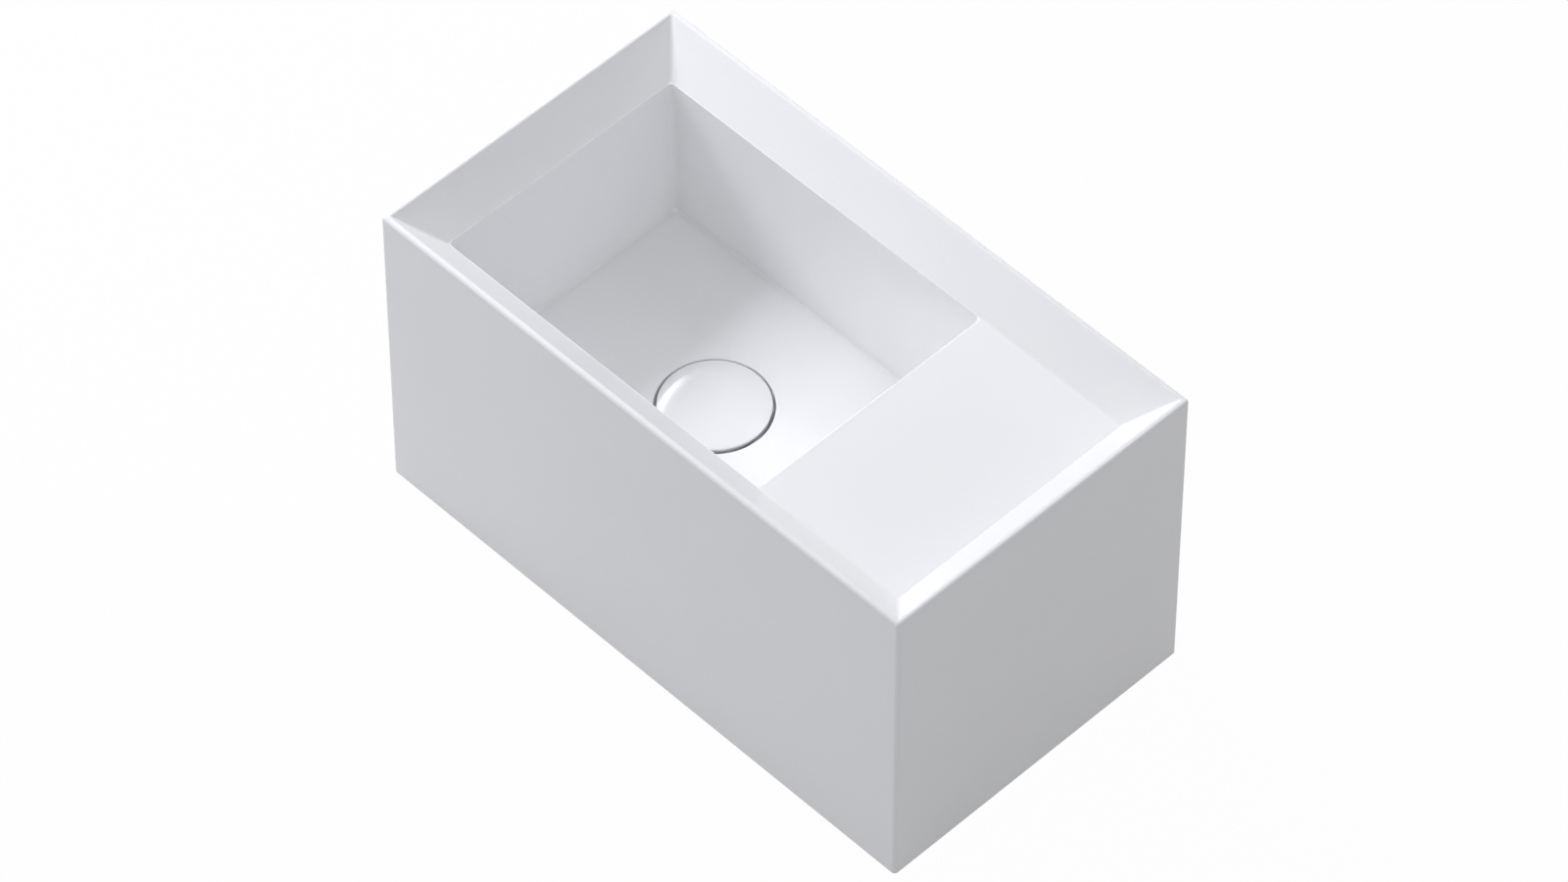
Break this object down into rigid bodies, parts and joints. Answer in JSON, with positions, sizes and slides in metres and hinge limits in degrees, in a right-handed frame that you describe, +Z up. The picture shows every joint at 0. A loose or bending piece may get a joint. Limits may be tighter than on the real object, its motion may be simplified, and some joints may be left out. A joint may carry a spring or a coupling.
{
  "type": "hand basin",
  "caption": "Compact box-shaped ceramic hand basin with an offset bowl, a level ledge and a push-open waste under a round ceramic cap.",
  "frame": {"origin": "centre of the underside", "axes": "+X along the width, with the ledge at the +X end; +Y towards the wall; +Z up"},
  "size_m": [0.4, 0.221, 0.218],
  "materials": {
    "glazed_fireclay": "smooth white gloss glaze",
    "glazed_cap": "smooth white gloss glaze",
    "chromed_brass": "bright chrome plate on brass",
    "plain_brass": "machined brass",
    "spring_steel": "drawn stainless spring wire",
    "black_rubber": "matt moulded rubber",
    "grey_acetal": "moulded acetal",
    "white_nylon": "moulded nylon"
  },
  "bodies": {
    "basin": {"basin_body": "glazed_fireclay", "fixing_bushes": "white_nylon", "waste_body": "chromed_brass", "flange_gasket": "black_rubber", "cone_washer": "black_rubber", "slip_washer": "grey_acetal", "back_nut": "plain_brass", "cartridge_housing": "chromed_brass", "cartridge_plug": "grey_acetal", "return_spring": "spring_steel"},
    "cap": {"waste_cap": "glazed_cap", "cap_plate": "chromed_brass", "cap_seal": "black_rubber", "height_locknut": "plain_brass", "plunger": "plain_brass"},
    "rotor": {"index_rotor": "grey_acetal"}
  },
  "joints": [
    {"name": "cap_lift", "type": "slide", "parent": "basin", "child": "cap", "axis": [0, 0, 1], "range_m": [0, 0.009], "deforming": ["return_spring"]},
    {"name": "rotor_turn", "type": "hinge", "parent": "cap", "child": "rotor", "pos_m": [-0.0532, 0, 0.053], "axis": [0, 0, 1], "range_deg": [0, 45]}
  ],
  "couplings": [
    {"joint": "rotor_turn", "follows": "cap_lift", "rad_per_m": 87.26}
  ]
}
